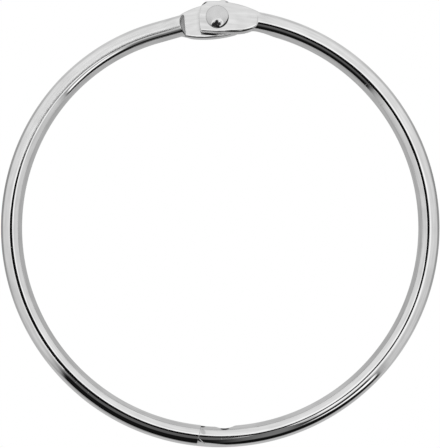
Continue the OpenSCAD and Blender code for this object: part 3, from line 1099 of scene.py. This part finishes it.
# Floor, as the metal sees it: levels, and ranges by bearing off +Y and by distance from the middle
FLOOR_HALF = 3.0
FLOOR_INSIDE = 0.5
FLOOR_INSIDE_FRONT = 0.62
FLOOR_SIDES = 0.33
FLOOR_BEHIND = 0.7
FLOOR_FRONT = 0.58
FLOOR_FAR = 0.7
INSIDE_FRONT_RANGE = (120, 155)
BEHIND_RANGE = (80, 35)
FRONT_RANGE = (92, 128)
FAR_RANGE = (0.06, 0.25)
UNDER_WIRE = (0.037, 0.043)


def make_floor():
    """Pale floor, lit evenly; in the metal it looks darker close to the ring."""
    emitter = emission_only("white_floor")
    tree = emitter.tree
    place = position(tree)
    reach = length(tree, place)
    turn, _ = bearing(tree, place, 90)
    off = math_node(tree, "ABSOLUTE", turn)
    outside = blend(tree, ramp(tree, off, *BEHIND_RANGE), FLOOR_SIDES, FLOOR_BEHIND)
    outside = blend(tree, ramp(tree, off, *FRONT_RANGE), outside, FLOOR_FRONT)
    outside = blend(tree, ramp(tree, reach, *FAR_RANGE), outside, FLOOR_FAR)
    inside = blend(tree, ramp(tree, off, *INSIDE_FRONT_RANGE), FLOOR_INSIDE, FLOOR_INSIDE_FRONT)
    level = blend(tree, ramp(tree, reach, *UNDER_WIRE), inside, outside)
    tree.links.new(white_when_seen(tree, level), emitter.glow.inputs["Strength"])
    low, high, z = -FLOOR_HALF, FLOOR_HALF, cad_box[0][2]
    corners = [(low, low, z), (high, low, z), (high, high, z), (low, high, z)]
    stage_mesh("floor", corners, [(0, 1, 2, 3)], emitter.material, True)


# White tent all round: levels at its top and at the card's sides, and steps away from the card
TENT_TOP = 0.9
TENT_TOP_RANGE = (8, 22)
TENT_LOW = 0.9
TENT_LOW_RANGE = (60, 95)
TENT_BESIDE_CARD = 0.45
TENT_CARD_BEARING = -92.0
TENT_STEPS = (((47, 54), 0.71), ((62, 92), 0.79), ((95, 125), TENT_TOP))

# Shade in the tent above the card, darker on its -X side
SHADE = 0.12
SHADE_LIGHT = 0.6
SHADE_LIGHT_RANGE = (10, 22)
SHADE_BEARING = -101.0
SHADE_HALF = 37.0
SHADE_FADE = 4.0
SHADE_ZENITH = (50, 40)


def make_world():
    world = bpy.data.worlds.new("tent")
    bpy.context.scene.world = world
    world.use_nodes = True
    tree = world.node_tree
    tree.nodes.clear()
    output = tree.nodes.new("ShaderNodeOutputWorld")
    background = tree.nodes.new("ShaderNodeBackground")
    direction = tree.nodes.new("ShaderNodeTexCoord").outputs["Generated"]
    turn, z = bearing(tree, direction, SHADE_BEARING)
    zenith = degrees(tree, "ARCCOSINE", z)
    from_card, _ = bearing(tree, direction, TENT_CARD_BEARING)
    away = math_node(tree, "ABSOLUTE", from_card)
    beside = TENT_BESIDE_CARD
    for reach, level in TENT_STEPS:
        beside = blend(tree, ramp(tree, away, *reach), beside, level)
    tent = blend(tree, ramp(tree, zenith, *TENT_TOP_RANGE), TENT_TOP, beside)
    tent = product(tree, tent, blend(tree, ramp(tree, zenith, *TENT_LOW_RANGE), 1.0, TENT_LOW))
    off = math_node(tree, "ABSOLUTE", turn)
    shaded = product(tree, ramp(tree, off, SHADE_HALF + SHADE_FADE, SHADE_HALF - SHADE_FADE),
                     ramp(tree, zenith, *SHADE_ZENITH))
    shade = blend(tree, ramp(tree, turn, *SHADE_LIGHT_RANGE), SHADE, SHADE_LIGHT)
    level = blend(tree, shaded, tent, shade)
    tree.links.new(white_when_seen(tree, level), background.inputs["Strength"])
    background.inputs["Color"].default_value = (1, 1, 1, 1)
    tree.links.new(background.outputs["Background"], output.inputs["Surface"])


# Dark card bent about the ring: size, and levels by height and by bearing off its middle
CARD_BLACK = 0.006
CARD_R = 0.14
CARD_MIDDLE = -90.0
CARD_HALF = 55.0
CARD_STEPS = 56
CARD_HEIGHTS = (0.008, 0.32)
CARD_RIGHT = (5, 14)
LEFT_RISE = (0.11, 0.22)
RIGHT_RISE = (0.085, 0.13)
RIGHT_GREY = 0.2
RIGHT_TOP_RISE = (0.16, 0.22)
RIGHT_TOP_TURN = (22, 30)
RIGHT_TOP_LEVELS = (0.6, 0.58)

# Bright patch across the card's +X end: height by bearing, ends, edge and level
PATCH_Z = 0.22875
PATCH_SLOPE = -0.00275
PATCH_START = (20, 28)
PATCH_END = (47, 44.5)
PATCH_EDGE = (0.046, 0.03)
PATCH_LEVEL = 1.25

# Outline of the card: its ends, its top, and its lower edge by bearing
CARD_LEFT_END = (-50, -46)
CARD_RIGHT_END = (47.5, 45.5)
CARD_TOP = (0.31, 0.27)
CARD_FOOT_TURN = (-45, 10)
CARD_FOOT = (0.034, 0.014)
CARD_FOOT_FADE = 0.006


def make_card():
    """Dark card on the -Y side of the ring, bent about it, with a bright patch in its +X end."""
    emitter = emission_only("dark_card")
    tree = emitter.tree
    turn, z = bearing(tree, position(tree), CARD_MIDDLE)
    left = blend(tree, ramp(tree, z, *LEFT_RISE), CARD_BLACK, SHADE)
    right = blend(tree, ramp(tree, z, *RIGHT_RISE), CARD_BLACK, RIGHT_GREY)
    right_top = blend(tree, ramp(tree, turn, *RIGHT_TOP_TURN), *RIGHT_TOP_LEVELS)
    right = blend(tree, ramp(tree, z, *RIGHT_TOP_RISE), right, right_top)
    patch_z = math_node(tree, "MULTIPLY_ADD", turn, PATCH_SLOPE, PATCH_Z)
    off_patch = math_node(tree, "ABSOLUTE", math_node(tree, "SUBTRACT", z, patch_z))
    patch = product(tree, ramp(tree, turn, *PATCH_START), ramp(tree, turn, *PATCH_END),
                    ramp(tree, off_patch, *PATCH_EDGE))
    right = blend(tree, patch, right, PATCH_LEVEL)
    level = blend(tree, ramp(tree, turn, *CARD_RIGHT), left, right)
    tree.links.new(level, emitter.glow.inputs["Strength"])
    foot = blend(tree, ramp(tree, turn, *CARD_FOOT_TURN), *CARD_FOOT)
    above_foot = math_node(tree, "SUBTRACT", z, foot)
    cover = product(tree, ramp(tree, turn, *CARD_LEFT_END), ramp(tree, turn, *CARD_RIGHT_END),
                    ramp(tree, above_foot, -CARD_FOOT_FADE, CARD_FOOT_FADE), ramp(tree, z, *CARD_TOP))
    cut_out(emitter, cover)
    turns = CARD_R * along(np.linspace(CARD_MIDDLE - CARD_HALF, CARD_MIDDLE + CARD_HALF, CARD_STEPS))
    stage_strip("dark_card", [[(x, y, h) for h in CARD_HEIGHTS] for x, y in turns], emitter.material)


# Dark shape of the lens, as the metal sees it from the ring's middle: bearing and half angle
LENS_OUTLINE = (
    (0, 9.5), (15, 10), (30, 10), (45, 10.5), (60, 9.5), (80, 9), (105, 2.5), (135, 3),
    (150, 8), (160, 11), (180, 19.5), (200, 20), (220, 20), (240, 14.5), (270, 12), (280, 14),
    (288, 11.5), (297, 8.5), (308, 9), (316, 9), (325, 8.5), (340, 8), (350, 8.5), (360, 9.5),
)
LENS_STEP = 4

# What lies beside the lens: heights in camera heights, a grey shade, a bright halo and its inner part
LENS_HEIGHT = 1.02
HALO_HEIGHT = 1.03
LENS_SHADE_HEIGHT = 1.05
LENS_SHADE_LEVEL = 0.13
LENS_SHADE_REACH = 0.052
LENS_SHADE_TO = -86.0
HALO_LEVEL = 1.15
HALO_STEPS = 49
HALO_HALF_ANGLES = (11.5, 24.0)
HALO_BEARINGS = (SHADE_BEARING + SHADE_HALF, SHADE_BEARING + 360 - SHADE_HALF)
FILL_HALF_ANGLES = (5.0, 11.5)
FILL_BEARINGS = (60, 150)


def even_light(name, level):
    """Material of one brightness."""
    emitter = emission_only(name)
    emitter.glow.inputs["Strength"].default_value = level
    return emitter.material


def make_lens():
    """The dark shape of the lens, the shade beside it on the -Y side and the halo on the others."""
    turns = np.arange(0, 360, LENS_STEP)
    reach = CAMERA_HEIGHT * np.tan(np.radians(np.interp(turns, *zip(*LENS_OUTLINE))))
    rim = [(r * c, r * s, CAMERA_HEIGHT * LENS_HEIGHT) for r, (c, s) in zip(reach, along(turns))]
    stage_mesh("lens", rim, [tuple(range(len(rim)))], even_light("lens", CARD_BLACK))
    height = CAMERA_HEIGHT * LENS_SHADE_HEIGHT
    turns = np.arange(SHADE_BEARING - SHADE_HALF, LENS_SHADE_TO + 1, LENS_STEP)
    fan = [(0.0, 0.0, height)] + [(x, y, height) for x, y in LENS_SHADE_REACH * along(turns)]
    stage_mesh("lens_shade", fan, [tuple(range(len(fan)))], even_light("lens_shade", LENS_SHADE_LEVEL))
    height = CAMERA_HEIGHT * HALO_HEIGHT
    for name, angles, bearings in (
        ("lens_halo", HALO_HALF_ANGLES, HALO_BEARINGS),
        ("halo_fill", FILL_HALF_ANGLES, FILL_BEARINGS),
    ):
        radii = CAMERA_HEIGHT * np.tan(np.radians(angles))
        flat_strip(name, radii, bearings, HALO_STEPS, height, even_light(name, HALO_LEVEL))


# Shade close over the ring: level and radii of its left, middle and right part, by bearing off its change
LowShade = namedtuple("LowShade", "level inner outer")
LOW_LEFT = LowShade(0.008, 0.0475, 0.066)
LOW_MIDDLE = LowShade(0.2, 0.038, 0.055)
LOW_RIGHT = LowShade(0.03, 0.0445, 0.0525)
LOW_CHANGE = -86.0
LOW_MIDDLE_RANGE = (-8, 8)
LOW_RIGHT_RANGE = (13, 20)
LOW_LEFT_END = (-53, -49)
LOW_RIGHT_END = (42, 38)
LOW_FADE = 0.0008
LOW_HEIGHT = 0.02
LOW_RADII = (0.036, 0.068)
LOW_BEARINGS = (LOW_CHANGE - 54, LOW_CHANGE + 44)
LOW_STEPS = 50


def make_low_shade():
    """Shade on the ring's -Y side: black on the left, grey in the middle, a dark line on the right."""
    emitter = emission_only("low_shade")
    tree = emitter.tree
    place = position(tree)
    turn, _ = bearing(tree, place, LOW_CHANGE)
    reach = level_length(tree, place)
    to_middle = ramp(tree, turn, *LOW_MIDDLE_RANGE)
    to_right = ramp(tree, turn, *LOW_RIGHT_RANGE)
    level, inner, outer = (
        blend(tree, to_right, blend(tree, to_middle, left, middle), right)
        for left, middle, right in zip(LOW_LEFT, LOW_MIDDLE, LOW_RIGHT)
    )
    cover = product(tree, ramp(tree, math_node(tree, "SUBTRACT", reach, inner), -LOW_FADE, LOW_FADE),
                    ramp(tree, math_node(tree, "SUBTRACT", outer, reach), -LOW_FADE, LOW_FADE),
                    ramp(tree, turn, *LOW_LEFT_END), ramp(tree, turn, *LOW_RIGHT_END))
    tree.links.new(level, emitter.glow.inputs["Strength"])
    cut_out(emitter, cover)
    flat_strip("low_shade", LOW_RADII, LOW_BEARINGS, LOW_STEPS, LOW_HEIGHT, emitter.material)


pin_plating = plated_wire("plated_pin_half", pin_wear_and_shade, PIN_STAINS_AND_SHADES)
socket_plating = plated_wire("plated_socket_half", socket_wear_and_shadow, SOCKET_STAINS_AND_SHADES)
rivet_plating = plated_rivet()
for make, node, body, slot, finish in (
    (make_pin_half, "pin_half_ring", "pin_half", "nickel_plate", pin_plating),
    (make_socket_half, "socket_half_ring", "socket_half", "nickel_plate", socket_plating),
    (make_rivet, "hinge_rivet", "pin_half", "rivet_nickel", rivet_plating),
):
    piece = make()
    piece.data.materials.append(finish)
    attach(piece, body)
    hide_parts(node)

make_floor()
make_world()
make_card()
make_lens()
make_low_shade()
make_camera()
bpy.context.scene.view_settings.view_transform = "Standard"
